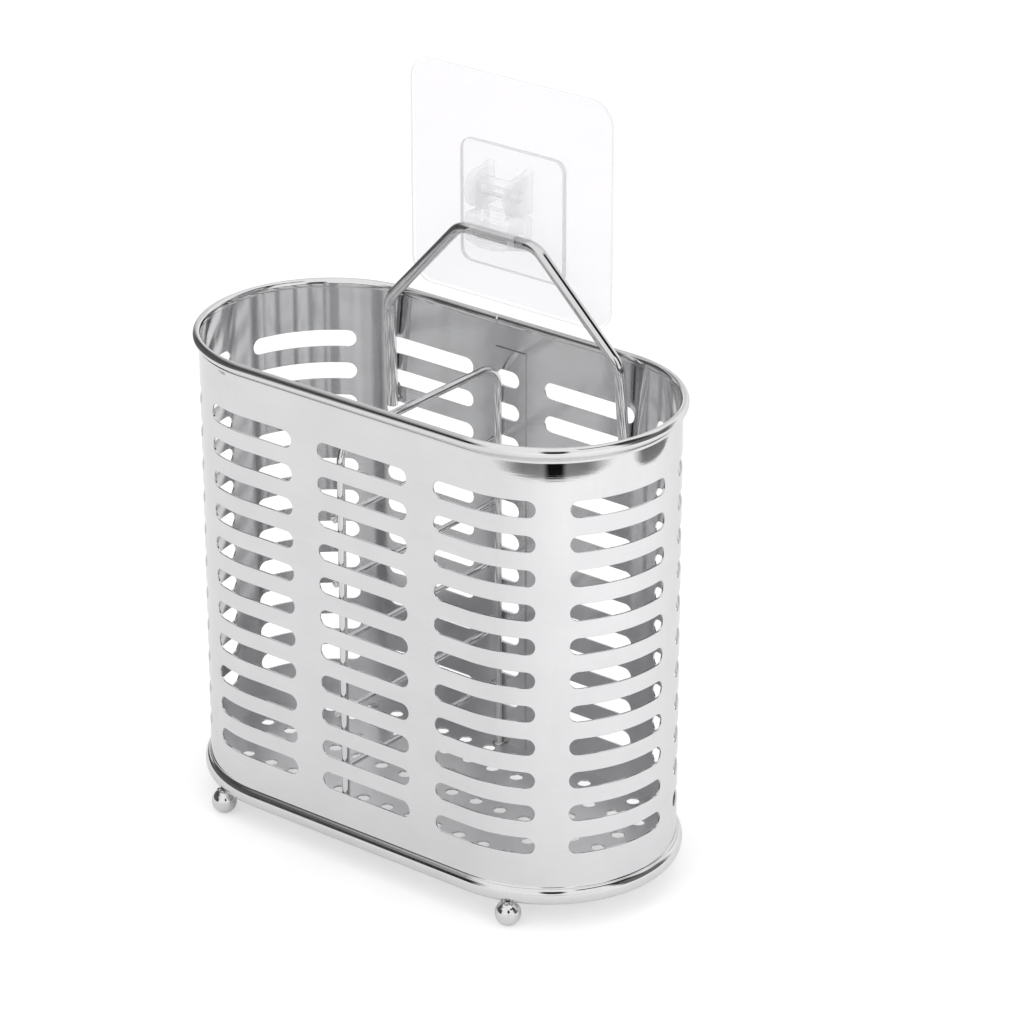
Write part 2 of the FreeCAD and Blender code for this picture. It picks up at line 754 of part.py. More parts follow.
hook_latch = new_body("hook_latch")
barrel_plan = new_sketch(hook_latch, "barrel", "YZ_Plane")
draw_circle(barrel_plan, "Dims.pivot_back", "Dims.pivot_rise", "Dims.barrel_radius")
pad(hook_latch, barrel_plan, "Places.latch_width", symmetric=True)
block_plan = new_sketch(hook_latch, "block", "YZ_Plane")
draw_rectangle(
    block_plan,
    "-Dims.block_front",
    "Places.latch_back",
    "Places.latch_foot",
    "Places.latch_top",
)
pad(hook_latch, block_plan, "Dims.block_width", symmetric=True)
round_edges(hook_latch, is_along_x_at_depth(-size("block_front")), "Dims.block_round", "front_round")
neck_plan = new_sketch(hook_latch, "neck", "YZ_Plane")
neck_foot = "(Places.latch_foot + Places.latch_top) / 2"
draw_rectangle(
    neck_plan,
    "Dims.pivot_back - Dims.barrel_radius",
    "Places.latch_back",
    neck_foot,
    "Dims.pivot_rise",
)
pad(hook_latch, neck_plan, "Places.latch_width", symmetric=True)
latch_bore_plan = new_sketch(hook_latch, "bore", "YZ_Plane")
draw_circle(latch_bore_plan, "Dims.pivot_back", "Dims.pivot_rise", "Dims.pin_radius + Dims.latch_bore_gap")
pocket(hook_latch, latch_bore_plan, "Places.latch_width + 2 * Dims.tool_reach")
at_bar(hook_latch)

at_bar(adhesive_film)
at_bar(wall_pad)

latch_pin = doc.addObject("Part::Cylinder", "latch_pin")
bind(latch_pin, Radius="Dims.pin_radius", Height="Places.ear_span")
latch_pin.Placement = Placement(Vector(0, 0, 0), Rotation(Vector(0, 1, 0), 90))
put(
    latch_pin,
    "Dims.back_center - Places.ear_span / 2",
    "Places.bar_y + Dims.pivot_back",
    "Places.bar_z + Dims.pivot_rise",
)

# Write each piece once everything has been checked.

NODES = {
    "wall_sheet": wall_sheet,
    "floor_pan": floor_pan,
    **feet,
    "divider_arch": divider_arch,
    **cross_wires,
    "hanger_bail": hanger_bail,
    "adhesive_film": adhesive_film,
    "wall_pad": wall_pad,
    "hook_base": hook_base,
    "hook_latch": hook_latch,
    "latch_pin": latch_pin,
}

doc.recompute()
for item in doc.Objects:
    if "Invalid" in item.State or "Error" in item.State:
        raise RuntimeError(f"{item.Label} did not build: {item.State}")
for label, node in NODES.items():
    node.Label = label
    if node.Shape.isNull() or not node.Shape.isValid() or len(node.Shape.Solids) != 1:
        raise RuntimeError(f"{label} is not one valid solid")

os.makedirs("parts", exist_ok=True)
for label, node in NODES.items():
    node.Shape.exportStep(f"parts/{label}.step")
    print(f"{label}: {node.Shape.Volume:.1f} mm3")
print(f"bar axis at y {place('bar_y'):.4f}, z {place('bar_z'):.4f}")
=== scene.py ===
import json
import math

import bmesh
import bpy
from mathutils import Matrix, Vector, noise
from mathutils.geometry import delaunay_2d_cdt


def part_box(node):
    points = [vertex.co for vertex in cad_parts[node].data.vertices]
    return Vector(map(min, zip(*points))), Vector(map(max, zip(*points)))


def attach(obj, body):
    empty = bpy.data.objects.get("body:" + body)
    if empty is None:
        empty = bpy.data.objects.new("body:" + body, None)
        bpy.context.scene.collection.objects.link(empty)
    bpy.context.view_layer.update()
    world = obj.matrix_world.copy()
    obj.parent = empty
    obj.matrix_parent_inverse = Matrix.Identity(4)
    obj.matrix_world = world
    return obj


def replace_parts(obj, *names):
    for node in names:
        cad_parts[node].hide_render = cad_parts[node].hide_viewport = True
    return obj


# Lengths are in metres. The rack's front looks towards -Y, and its floor stands level with X and Y.

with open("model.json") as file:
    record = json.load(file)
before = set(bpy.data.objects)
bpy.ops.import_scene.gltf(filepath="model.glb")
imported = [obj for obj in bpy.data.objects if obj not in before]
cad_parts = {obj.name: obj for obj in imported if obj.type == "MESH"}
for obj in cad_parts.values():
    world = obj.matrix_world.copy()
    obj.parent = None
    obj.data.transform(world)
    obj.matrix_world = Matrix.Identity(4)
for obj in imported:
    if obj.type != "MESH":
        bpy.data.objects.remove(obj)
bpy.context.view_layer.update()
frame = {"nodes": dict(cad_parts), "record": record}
nodes = frame["nodes"]
bodies = frame["record"]["behaviour"]["bodies"]
scene = bpy.context.scene
scene.view_settings.view_transform = "Standard"
# The clear hook is many see-through layers deep.
scene.cycles.transparent_max_bounces = 32


def new_object(name, data):
    made = bpy.data.objects.new(name, data)
    scene.collection.objects.link(made)
    return made


def look_at(thing, target, azimuth, elevation, distance):
    """Stands a camera or lamp off from a target and turns it there.

    Angles are in degrees. Azimuth 0 is in front of the rack, 90 at its right."""
    azimuth, elevation = math.radians(azimuth), math.radians(elevation)
    back = Vector((
        math.sin(azimuth) * math.cos(elevation),
        -math.cos(azimuth) * math.cos(elevation),
        math.sin(elevation),
    ))
    thing.location = target + back * distance
    thing.rotation_euler = (-back).to_track_quat("-Z", "Y").to_euler()


# Camera at the photograph's viewing angle.

CAMERA_TARGET = Vector((0.02937, 0.0, 0.11661))
CAMERA_AZIMUTH, CAMERA_ELEVATION, CAMERA_DISTANCE = 38.535, 24.417, 1.32498
CAMERA_SENSOR, CAMERA_LENS = 36.0, 152.98  # in millimetres


def make_camera():
    data = bpy.data.cameras.new("camera")
    data.sensor_width, data.lens = CAMERA_SENSOR, CAMERA_LENS
    scene.camera = new_object("camera", data)
    look_at(scene.camera, CAMERA_TARGET, CAMERA_AZIMUTH, CAMERA_ELEVATION, CAMERA_DISTANCE)


make_camera()


# Small helpers for node trees.

NOISE_LOW, NOISE_HIGH = 0.3, 0.7  # most of a noise falls between these


def grey(colour):
    """A colour with full alpha, from one number or from three."""
    if isinstance(colour, (int, float)):
        return (colour, colour, colour, 1.0)
    return (*colour, 1.0)


class Tree:
    """A node tree that is written as nested calls."""

    def __init__(self, tree):
        self.tree = tree
        tree.nodes.clear()

    def add(self, kind, inputs=None, **settings):
        node = self.tree.nodes.new(kind)
        for key, value in settings.items():
            setattr(node, key, value)
        for key, value in (inputs or {}).items():
            self.set(node.inputs[key], value)
        return node

    def set(self, socket, value):
        if isinstance(value, bpy.types.NodeSocket):
            self.tree.links.new(value, socket)
        else:
            socket.default_value = value

    def math(self, operation, *values):
        node = self.add("ShaderNodeMath", operation=operation)
        for socket, value in zip(node.inputs, values):
            self.set(socket, value)
        return node.outputs[0]

    def mix(self, factor, first, second):
        """The first colour where the factor is 0, the second where it is 1."""
        sockets = {"Factor": factor, "A": first, "B": second}
        return self.add("ShaderNodeMix", sockets, data_type="RGBA").outputs[2]

    def ramp(self, value, stops):
        node = self.add("ShaderNodeValToRGB", {"Fac": value})
        elements = node.color_ramp.elements
        while len(elements) < len(stops):
            elements.new(0.5)
        for element, (position, colour) in zip(elements, stops):
            element.position = position
            element.color = grey(colour)
        return node.outputs["Color"]

    def tones(self, value, dark, light):
        """Dark to light over the usual range of a noise."""
        return self.ramp(value, [(NOISE_LOW, dark), (NOISE_HIGH, light)])

    def noise(self, stretch, detail=3.0, roughness=0.5):
        """Noise with about so many lumps to a metre along X, Y and Z."""
        place = self.add("ShaderNodeMapping", {"Vector": self.place("Object"), "Scale": stretch})
        node = self.add("ShaderNodeTexNoise", {
            "Vector": place.outputs["Vector"], "Scale": 1.0, "Detail": detail, "Roughness": roughness,
        })
        return node.outputs["Fac"]

    def place(self, kind):
        return self.add("ShaderNodeTexCoord").outputs[kind]

    def axis(self, vector, name):
        return self.add("ShaderNodeSeparateXYZ", {"Vector": vector}).outputs[name]

    def share(self, value, start, end, interpolation="LINEAR"):
        """From 0 at a start value to 1 at an end value."""
        sockets = {"Value": value, "From Min": start, "From Max": end}
        node = self.add("ShaderNodeMapRange", sockets, interpolation_type=interpolation)
        return node.outputs["Result"]

    def between(self, share, low, high):
        """From low to high as a share goes from 0 to 1."""
        sockets = {"Value": share, "To Min": low, "To Max": high}
        return self.add("ShaderNodeMapRange", sockets).outputs["Result"]


def new_material(name):
    material = bpy.data.materials.new(name)
    material.use_nodes = True
    return material, Tree(material.node_tree)


def finish_material(tree, shader):
    tree.add("ShaderNodeOutputMaterial", {"Surface": shader.outputs[0]})


# Materials.

CLOUD_STRETCH, CLOUD_PART, LINE_PART = (55, 55, 55), 0.6, 0.4
LINE_HEIGHT, WAVE_HEIGHT, STEEL_RELIEF = 0.5, 6.0, 0.0001
QUARTER_TURN = 0.25
FLOW_STRETCH, HAZE_STRETCH, PLASTIC_RELIEF = (220, 220, 140), (900, 900, 900), 0.0002
EDGE_FACING, BROAD_FACING = 0.55, 0.95
BODY_DIM, EDGE_DIM, REAR_DIM = 0.98, 0.96, 0.94
PLASTIC_IOR = 1.46


def steel(name, tones, roughness, grain, bump, wave=None, drawn=0.0):
    """Stainless steel with a cloudy tone, fine grain along one direction and shallow waves.

    A drawn sheet smears what it mirrors up and down."""
    material, tree = new_material(name)
    cloud = tree.noise(CLOUD_STRETCH, 4.0)
    lines = tree.noise(grain, 4.0, 0.6)
    tint = tree.math(
        "ADD", tree.math("MULTIPLY", cloud, CLOUD_PART), tree.math("MULTIPLY", lines, LINE_PART),
    )
    height = tree.math("MULTIPLY", lines, LINE_HEIGHT)
    if wave:
        waves = tree.noise(wave, 2.0, 0.4)
        height = tree.math("ADD", height, tree.math("MULTIPLY", waves, WAVE_HEIGHT))
    normal = tree.add("ShaderNodeBump", {
        "Strength": bump, "Distance": STEEL_RELIEF, "Height": height,
    })
    shader = tree.add("ShaderNodeBsdfPrincipled", {
        "Base Color": tree.tones(tint, *tones),
        "Metallic": 1.0,
        "Roughness": tree.between(lines, *roughness),
        "Normal": normal.outputs["Normal"],
    })
    if drawn:
        around = tree.add("ShaderNodeTangent", direction_type="RADIAL", axis="Z")
        tree.set(shader.inputs["Anisotropic"], drawn)
        tree.set(shader.inputs["Anisotropic Rotation"], QUARTER_TURN)
        tree.set(shader.inputs["Tangent"], around.outputs["Tangent"])
    finish_material(tree, shader)
    return material


def clear(name, body, edge, roughness, bump, rear=None):
    """Clear plastic with flow marks, see-through on its broad faces and milkier on its edges, where a
    greyer colour is painted shade.

    Body and edge are each a colour and its opacity. Edges that lie behind a rear depth, the
    first of the three rear values, have a colour and an opacity of their own; the darker rear
    colour is painted shade on the plate's rim."""
    material, tree = new_material(name)
    flow = tree.noise(FLOW_STRETCH)
    haze = tree.noise(HAZE_STRETCH, 2.0)

    def mottled(colour, dim):
        return tree.tones(flow, tuple(dim * part for part in colour), colour)

    across = tree.math("ABSOLUTE", tree.axis(tree.place("Normal"), "Y"))
    broad = tree.share(across, EDGE_FACING, BROAD_FACING, "SMOOTHSTEP")
    body_colour, body_haze = body
    edge_colour_painted_shade, edge_haze = edge
    # Painted shade: faces turned away from front and back take a greyer colour than the broad faces.
    edge_tone_painted_shade = mottled(edge_colour_painted_shade, EDGE_DIM)
    if rear:
        # Painted shade: the plate's rim behind the rear depth takes a darker colour.
        depth, rear_colour_painted_shade, rear_haze = rear
        behind = tree.math("GREATER_THAN", tree.axis(tree.place("Object"), "Y"), depth)
        edge_tone_painted_shade = tree.mix(behind, edge_tone_painted_shade, mottled(rear_colour_painted_shade, REAR_DIM))
        edge_haze = tree.between(behind, edge_haze, rear_haze)
    normal = tree.add("ShaderNodeBump", {
        "Strength": bump, "Distance": PLASTIC_RELIEF, "Height": flow,
    })
    shader = tree.add("ShaderNodeBsdfPrincipled", {
        "Base Color": tree.mix(broad, edge_tone_painted_shade, mottled(body_colour, BODY_DIM)),
        "Roughness": tree.between(haze, *roughness),
        "IOR": PLASTIC_IOR,
        "Alpha": tree.between(broad, edge_haze, body_haze),
        "Normal": normal.outputs["Normal"],
    })
    finish_material(tree, shader)
    return material


sheet_steel = steel(
    "polished_sheet_steel", tones=((0.73, 0.73, 0.74), (0.79, 0.79, 0.80)),
    roughness=(0.014, 0.032), grain=(60, 60, 2500), bump=0.02, wave=(35, 35, 6),
)
inner_steel = steel(
    "drawn_sheet_steel", tones=((0.68, 0.68, 0.69), (0.75, 0.75, 0.76)),
    roughness=(0.12, 0.17), grain=(60, 60, 2500), bump=0.05, wave=(70, 70, 9), drawn=0.95,
)
# The pan's rougher pressed finish is its own; its tone, lighter than the wall's steel, is painted light
# that lifts the shaded floor inside the rack.
floor_steel_painted_light = steel(
    "pressed_floor_steel", tones=((0.86, 0.86, 0.87), (0.92, 0.92, 0.93)),
    roughness=(0.38, 0.46), grain=(120, 120, 120), bump=0.01,
)
bright_steel = steel(
    "polished_steel", tones=((0.72, 0.72, 0.73), (0.80, 0.80, 0.80)),
    roughness=(0.03, 0.06), grain=(900, 900, 900), bump=0.02,
)
wire_steel = steel(
    "drawn_wire_steel", tones=((0.66, 0.66, 0.67), (0.75, 0.75, 0.75)),
    roughness=(0.04, 0.09), grain=(1500, 120, 120), bump=0.03,
)
weld_steel = steel(
    "weld_steel", tones=((0.40, 0.39, 0.38), (0.62, 0.62, 0.61)),
    roughness=(0.16, 0.34), grain=(1400, 1400, 1400), bump=0.5,
)
PLATE_DEPTH = 0.0021
PLATE_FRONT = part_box("hook_base")[1].y - PLATE_DEPTH
# The edge colours below are painted shade on faces turned away from front and back.
clear_plastic = clear(
    "clear_moulded_plastic", body=((0.98, 0.98, 0.985), 0.05), edge=((0.91, 0.91, 0.92), 0.36),
    roughness=(0.15, 0.3), bump=0.15, rear=(PLATE_FRONT, (0.56, 0.56, 0.58), 0.5),
)
# The pad's and film's greyer edge colours are painted shade.
clear_sheet = clear(
    "clear_pad_plastic", body=((0.88, 0.83, 0.92), 0.1), edge=((0.66, 0.64, 0.69), 0.4),
    roughness=(0.1, 0.2), bump=0.05,
)
film = clear(
    "clear_adhesive_film", body=((0.88, 0.83, 0.92), 0.075), edge=((0.8, 0.8, 0.81), 0.2),
    roughness=(0.2, 0.3), bump=0.1,
)

FINISHES = {
    "foot_front_left": bright_steel,
    "foot_front_right": bright_steel,
    "foot_back_left": bright_steel,
    "foot_back_right": bright_steel,
    "divider_arch": wire_steel,
    "hanger_bail": wire_steel,
    **{f"divider_wire_{number}": wire_steel for number in range(1, 6)},
}
for node, finish in FINISHES.items():
    slots = nodes[node].data.materials
    slots.clear()
    slots.append(finish)


# Sheet metal: the oval that wall, rim and base follow, measured at the sheet's outer face.

HALF_STRAIGHT, END_RADIUS, SHEET = 0.0438, 0.040, 0.0006
ARC = math.pi * END_RADIUS
PERIMETER = 4 * HALF_STRAIGHT + 2 * ARC
BACK = PERIMETER / 2
FLOOR_TOP, FLOOR_BOTTOM = 0.0105, 0.0099
UP = Vector((0, 0, 1))
INWARD = -0.5  # a face that looks inwards by more than this share is on the inner side


def oval(along):
    """Centre of curvature and turn of the oval, at a distance along it.

    The distance starts at the middle of the front and goes towards +X."""
    along %= PERIMETER
    if along < HALF_STRAIGHT:
        return along, 0.0
    if along < HALF_STRAIGHT + ARC:
        return HALF_STRAIGHT, (along - HALF_STRAIGHT) / END_RADIUS
    if along < 3 * HALF_STRAIGHT + ARC:
        return 2 * HALF_STRAIGHT + ARC - along, math.pi
    if along < 3 * HALF_STRAIGHT + 2 * ARC:
        return -HALF_STRAIGHT, math.pi + (along - 3 * HALF_STRAIGHT - ARC) / END_RADIUS
    return along - PERIMETER, 2 * math.pi


def outward(along):
    turn = oval(along)[1]
    return Vector((math.sin(turn), -math.cos(turn), 0))


def onward(along):
    turn = oval(along)[1]
    return Vector((math.cos(turn), math.sin(turn), 0))


def on_oval(along, level, out):
    """The point at a level that stands out from the oval."""
    return Vector((oval(along)[0], 0, level)) + outward(along) * (END_RADIUS + out)


def steps_between(low, high, count):
    return [low + (high - low) * step / count for step in range(count + 1)]


def turns(count):
    return [2 * math.pi * step / count for step in range(count)]


class Skin:
    """Vertices that each carry their own normal, and the faces between them."""

    def __init__(self):
        self.points, self.normals, self.faces, self.known = [], [], [], {}

    def vertex(self, point, normal, key=None):
        """The number of a vertex, the same one again for a key that is known."""
        if key is not None and key in self.known:
            return self.known[key]
        self.points.append(point)
        self.normals.append(normal.normalized())
        if key is not None:
            self.known[key] = len(self.points) - 1
        return len(self.points) - 1

    def strip(self, first, second):
        """Quads between two closed loops of vertices."""
        for here in range(len(first)):
            there = (here + 1) % len(first)
            self.faces.append((first[here], first[there], second[there], second[here]))

    def rows(self, rows):
        """Quads between open rows of vertices."""
        for first, second in zip(rows, rows[1:]):
            for here in range(len(first) - 1):
                self.faces.append((first[here], first[here + 1], second[here + 1], second[here]))

    def facing(self, face):
        """The face wound so that it looks the way its normals do."""
        first, second, third = (self.points[corner] for corner in face[:3])
        normal = sum((self.normals[corner] for corner in face), Vector())
        return face if (second - first).cross(third - first).dot(normal) > 0 else face[::-1]

    def piece(self, name, material, body, inside=None):
        """The piece, riding on a body, with another material on its inner side if one is given."""
        mesh = bpy.data.meshes.new(name)
        mesh.from_pydata(self.points, [], [self.facing(face) for face in self.faces])
        mesh.polygons.foreach_set("use_smooth", [True] * len(mesh.polygons))
        mesh.normals_split_custom_set_from_vertices(self.normals)
        mesh.materials.append(material)
        if inside:
            mesh.materials.append(inside)
            for face in mesh.polygons:
                x, y, _ = face.center
                reach = Vector((x - max(-HALF_STRAIGHT, min(HALF_STRAIGHT, x)), y, 0))
                face.material_index = int(face.normal.dot(reach) < INWARD * reach.length)
        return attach(new_object(name, mesh), body)


# Wall: a slotted sheet, in cells of one slot each.

SLOT_LENGTH, SEAM_SLOT_LENGTH, SLOT_HEIGHT = 0.035, 0.009, 0.0055
EDGE = 0.00012  # how far a slot's lip is rounded
COLUMNS, ROWS = 9, 11
SLOT_SHIFT, SEAM_SHARE = 0.0034, 0.0183
COLUMN_PITCH = (PERIMETER - SEAM_SHARE) / COLUMNS
LOW_ROW, HIGH_ROW = 0.0274, 0.1392
ROW_PITCH = (HIGH_ROW - LOW_ROW) / (ROWS - 1)
LOW_EDGE, HIGH_EDGE = LOW_ROW - ROW_PITCH / 2, HIGH_ROW + ROW_PITCH / 2
WALL_FOOT, NECK_FOOT, ROLL_LEVEL = FLOOR_TOP, 0.1542, 0.15775
SLOT_STEPS, SEAM_STEPS, SLOT_END_STEPS, BAND_STEPS = 24, 8, 12, 4
CELL_SHARES = (0.4, 0.75, 1.0)  # rings of a cell, from its bound to the slot's lip
LAP_SINK, LAP_DEPTH = 0.0001, 0.0005
LAP_LEFT, LAP_RIGHT, LAP_TOP = BACK - 0.0036, BACK + 0.0084, 0.1492


def slot_outline(center, level, length, reach, across, around):
    """(along, level, normal along, normal up) round a slot, a distance out from its edge."""
    radius = SLOT_HEIGHT / 2
    run = length / 2 - radius
    outline = []
    for side in (1, -1):
        for step in range(across):
            along = center + side * run * (2 * step / across - 1)
            outline.append((along, level + side * (radius + reach), 0.0, side))
        for step in range(around):
            angle = side * math.pi / 2 - math.pi * step / around
            x, z = math.cos(angle), math.sin(angle)
            along = center + side * run + (radius + reach) * x
            outline.append((along, level + (radius + reach) * z, x, z))
    return outline


def cell_outline(left, right, bottom, top, across, around):
    """(along, level) round a cell, in step with the slot's outline."""
    outline = []
    for step in range(across):
        outline.append((left + (right - left) * step / across, top))
    for step in range(around):
        outline.append((right, top + (bottom - top) * step / around))
    for step in range(across):
        outline.append((right + (left - right) * step / across, bottom))
    for step in range(around):
        outline.append((left, bottom + (top - bottom) * step / around))
    return outline


class SlottedSheet(Skin):
    """Two faces of a sheet on the oval, an outer and an inner distance from it."""

    def __init__(self, outer, inner):
        super().__init__()
        self.outer, self.inner = outer, inner

    def face_vertex(self, along, level, outside):
        out = self.outer if outside else self.inner
        normal = outward(along) * (1 if outside else -1)
        key = (round(along % PERIMETER, 7), round(level, 7), outside)
        return self.vertex(on_oval(along, level, out), normal, key)

    def cell(self, center, row, length, left, right, across):
        """One slot of a row and the sheet round it."""
        level, around = LOW_ROW + row * ROW_PITCH, SLOT_END_STEPS
        bottom, top = level - ROW_PITCH / 2, level + ROW_PITCH / 2
        bound = cell_outline(left, right, bottom, top, across, around)
        lip = slot_outline(center, level, length, EDGE, across, around)
        edge = slot_outline(center, level, length, 0.0, across, around)
        loops = {}
        for outside in (True, False):
            rings = [[self.face_vertex(along, height, outside) for along, height in bound]]
            for share in CELL_SHARES:
                rings.append([
                    self.face_vertex(
                        far + (near[0] - far) * share, high + (near[1] - high) * share, outside,
                    )
                    for (far, high), near in zip(bound, lip)
                ])
            for first, second in zip(rings, rings[1:]):
                self.strip(first, second)
            depth = self.outer - EDGE if outside else self.inner + EDGE
            wall = [
                self.vertex(on_oval(along, height, depth), -(onward(along) * x + UP * z))
                for along, height, x, z in edge
            ]
            self.strip(rings[-1], wall)
            loops[outside] = wall
        self.strip(loops[True], loops[False])

    def band(self, stops, levels, outside):
        self.rows([
            [self.face_vertex(along, level, outside) for along in stops] for level in levels
        ])

    def rim(self, spots, normal):
        """The cut edge of the sheet along (along, level) spots."""
        self.rows([
            [self.vertex(on_oval(along, level, out), normal) for along, level in spots]
            for out in (self.outer, self.inner)
        ])


def make_wall():
    wall = SlottedSheet(0.0, -SHEET)
    columns = [
        (SLOT_SHIFT + (column - (COLUMNS - 1) / 2) * COLUMN_PITCH, SLOT_LENGTH, COLUMN_PITCH, SLOT_STEPS)
        for column in range(COLUMNS)
    ]
    columns.append((SLOT_SHIFT + BACK, SEAM_SLOT_LENGTH, SEAM_SHARE, SEAM_STEPS))
    for center, length, width, across in columns:
        left, right = center - width / 2, center + width / 2
        for row in range(ROWS):
            wall.cell(center, row, length, left, right, across)
        stops = steps_between(left, right, across)
        wall.band(stops, steps_between(WALL_FOOT, LOW_EDGE, BAND_STEPS), True)
        wall.band(stops, steps_between(WALL_FOOT, LOW_EDGE, BAND_STEPS), False)
        wall.band(stops, steps_between(HIGH_EDGE, NECK_FOOT, BAND_STEPS), True)
        wall.band(stops, steps_between(HIGH_EDGE, ROLL_LEVEL, BAND_STEPS), False)
    made = wall.piece("slotted_wall", sheet_steel, "rack", inner_steel)
    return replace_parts(made, "wall_sheet")


def make_lap():
    """The strip where the sheet's two ends overlap at the back, with the same slots through it."""
    lap = SlottedSheet(LAP_SINK - SHEET, -SHEET - LAP_DEPTH)
    for row in range(ROWS):
        lap.cell(BACK + SLOT_SHIFT, row, SEAM_SLOT_LENGTH, LAP_LEFT, LAP_RIGHT, SEAM_STEPS)
    stops = steps_between(LAP_LEFT, LAP_RIGHT, SEAM_STEPS)
    for outside in (True, False):
        lap.band(stops, [WALL_FOOT, LOW_EDGE], outside)
        lap.band(stops, [HIGH_EDGE, LAP_TOP], outside)
    for side, normal in ((LAP_LEFT, Vector((1, 0, 0))), (LAP_RIGHT, Vector((-1, 0, 0)))):
        lap.rim([(side, level) for level in (WALL_FOOT, LAP_TOP)], normal)
    lap.rim([(stop, LAP_TOP) for stop in stops], UP)
    return lap.piece("lap_strip", inner_steel, "rack")


# Rolled edges: a profile of (out, level) points carried round the oval, angles in degrees.

STRAIGHT_STEPS, ARC_STEPS = 12, 96
JOINT_GAP, JOINT_SWELL, JOINT_RUN = 0.00004, 0.0006, 0.045
NECK_RADIUS, NECK_TURN, NECK_STEPS = 0.0016, 58, 8
ROLL_CENTER, ROLL_RADII = (0.0005, ROLL_LEVEL), (0.0013, 0.00175)
ROLL_START, ROLL_END, ROLL_STEPS = -100, 212, 44
RIM_JOINT = BACK + 0.008
BASE_CENTER, BASE_RADII = (0.0001, FLOOR_TOP), (0.0018, 0.0028)
BASE_START, BASE_END, BASE_STEPS = -128, 68, 36
FILLET_RADIUS, FILLET_RISE, FILLET_TURN, FILLET_STEPS = 0.0008, 0.0007, 60, 8


def arc_points(center, radii, start, end, count):
    """(out, level) along an elliptic arc."""
    points = []
    for step in range(count + 1):
        angle = math.radians(start + (end - start) * step / count)
        points.append((
            center[0] + radii[0] * math.cos(angle), center[1] + radii[1] * math.sin(angle),
        ))
    return points


def carried_profile(name, runs, material, joint=None):
    """Smooth runs of points swept round the oval, with a crease between one run and the next.

    From a joint on, the inner side opens out a little."""
    skin = Skin()
    stops = []
    for start, end, count in (
        (0, HALF_STRAIGHT, STRAIGHT_STEPS // 2),
        (HALF_STRAIGHT, HALF_STRAIGHT + ARC, ARC_STEPS),
        (HALF_STRAIGHT + ARC, 3 * HALF_STRAIGHT + ARC, STRAIGHT_STEPS),
        (3 * HALF_STRAIGHT + ARC, 3 * HALF_STRAIGHT + 2 * ARC, ARC_STEPS),
        (3 * HALF_STRAIGHT + 2 * ARC, PERIMETER, STRAIGHT_STEPS // 2),
    ):
        stops += steps_between(start, end, count)[:-1]
    swell = [0.0] * len(stops)
    if joint:
        stops = sorted([*stops, joint - JOINT_GAP, joint])
        swell = [
            JOINT_SWELL * max(0.0, 1 - (stop - joint) / JOINT_RUN) if stop >= joint else 0.0
            for stop in stops
        ]
    for run in runs:
        loops = []
        for number, (out, level) in enumerate(run):
            before, after = run[max(0, number - 1)], run[min(len(run) - 1, number + 1)]
            rise, reach = after[1] - before[1], after[0] - before[0]
            normal = Vector((rise, -reach)).normalized()
            loops.append([
                skin.vertex(
                    on_oval(along, level, out + min(0.0, normal.x) * more),
                    outward(along) * normal.x + UP * normal.y,
                )
                for along, more in zip(stops, swell)
            ])
        for first, second in zip(loops, loops[1:]):
            skin.strip(first, second)
    return skin.piece(name, material, "rack")


def make_rim():
    """The neck that flares from the wall, then the roll over the top down to the inner face."""
    neck = [
        (NECK_RADIUS * (1 - math.cos(turn)), NECK_FOOT + NECK_RADIUS * math.sin(turn))
        for turn in steps_between(0, math.radians(NECK_TURN), NECK_STEPS)
    ]
    roll = arc_points(ROLL_CENTER, ROLL_RADII, ROLL_START, ROLL_END, ROLL_STEPS)
    runs = [neck, neck[-1:] + roll[:1], roll]
    rim = carried_profile("rim_roll", runs, bright_steel, RIM_JOINT)
    return rim


def make_base():
    """The roll from the floor's underside round to the wall, then the fillet under the wall."""
    roll = arc_points(BASE_CENTER, BASE_RADII, BASE_START, BASE_END, BASE_STEPS)
    fillet_level = roll[-1][1] + FILLET_RISE
    fillet = [
        (FILLET_RADIUS * (1 - math.cos(turn)), fillet_level - FILLET_RADIUS * math.sin(turn))
        for turn in steps_between(math.radians(FILLET_TURN), 0, FILLET_STEPS)
    ]
    underside = [(roll[0][0], FLOOR_BOTTOM), roll[0]]
    runs = [underside, roll, roll[-1:] + fillet[:1], fillet]
    base = carried_profile("base_roll", runs, bright_steel)
    return base


# Floor: a pierced plate with drawn hole edges.

HOLE, HOLE_LIP, HOLE_MARGIN = 0.0020, 0.0003, 0.0016
HOLE_SHIFT_X, HOLE_SHIFT_Y = 0.0029, 0.0026
HOLE_PITCH_X, HOLE_PITCH_Y = 0.00976, 0.0103
HOLE_COLUMNS, HOLE_ROWS = range(-9, 10), range(-5, 6)
HOLE_STEPS, PLATE_STEPS = 32, 240
INSIDE_BOUND, SAME_SPOT = 1, 1e-7


def floor_holes():
    """The middles of the holes that keep clear of the wall."""
    reach = END_RADIUS - SHEET - HOLE_MARGIN - HOLE
    holes = []
    for column in HOLE_COLUMNS:
        for row in HOLE_ROWS:
            x, y = HOLE_SHIFT_X + column * HOLE_PITCH_X, HOLE_SHIFT_Y + row * HOLE_PITCH_Y
            if math.hypot(max(0.0, abs(x) - HALF_STRAIGHT), y) < reach:
                holes.append(Vector((x, y)))
    return holes


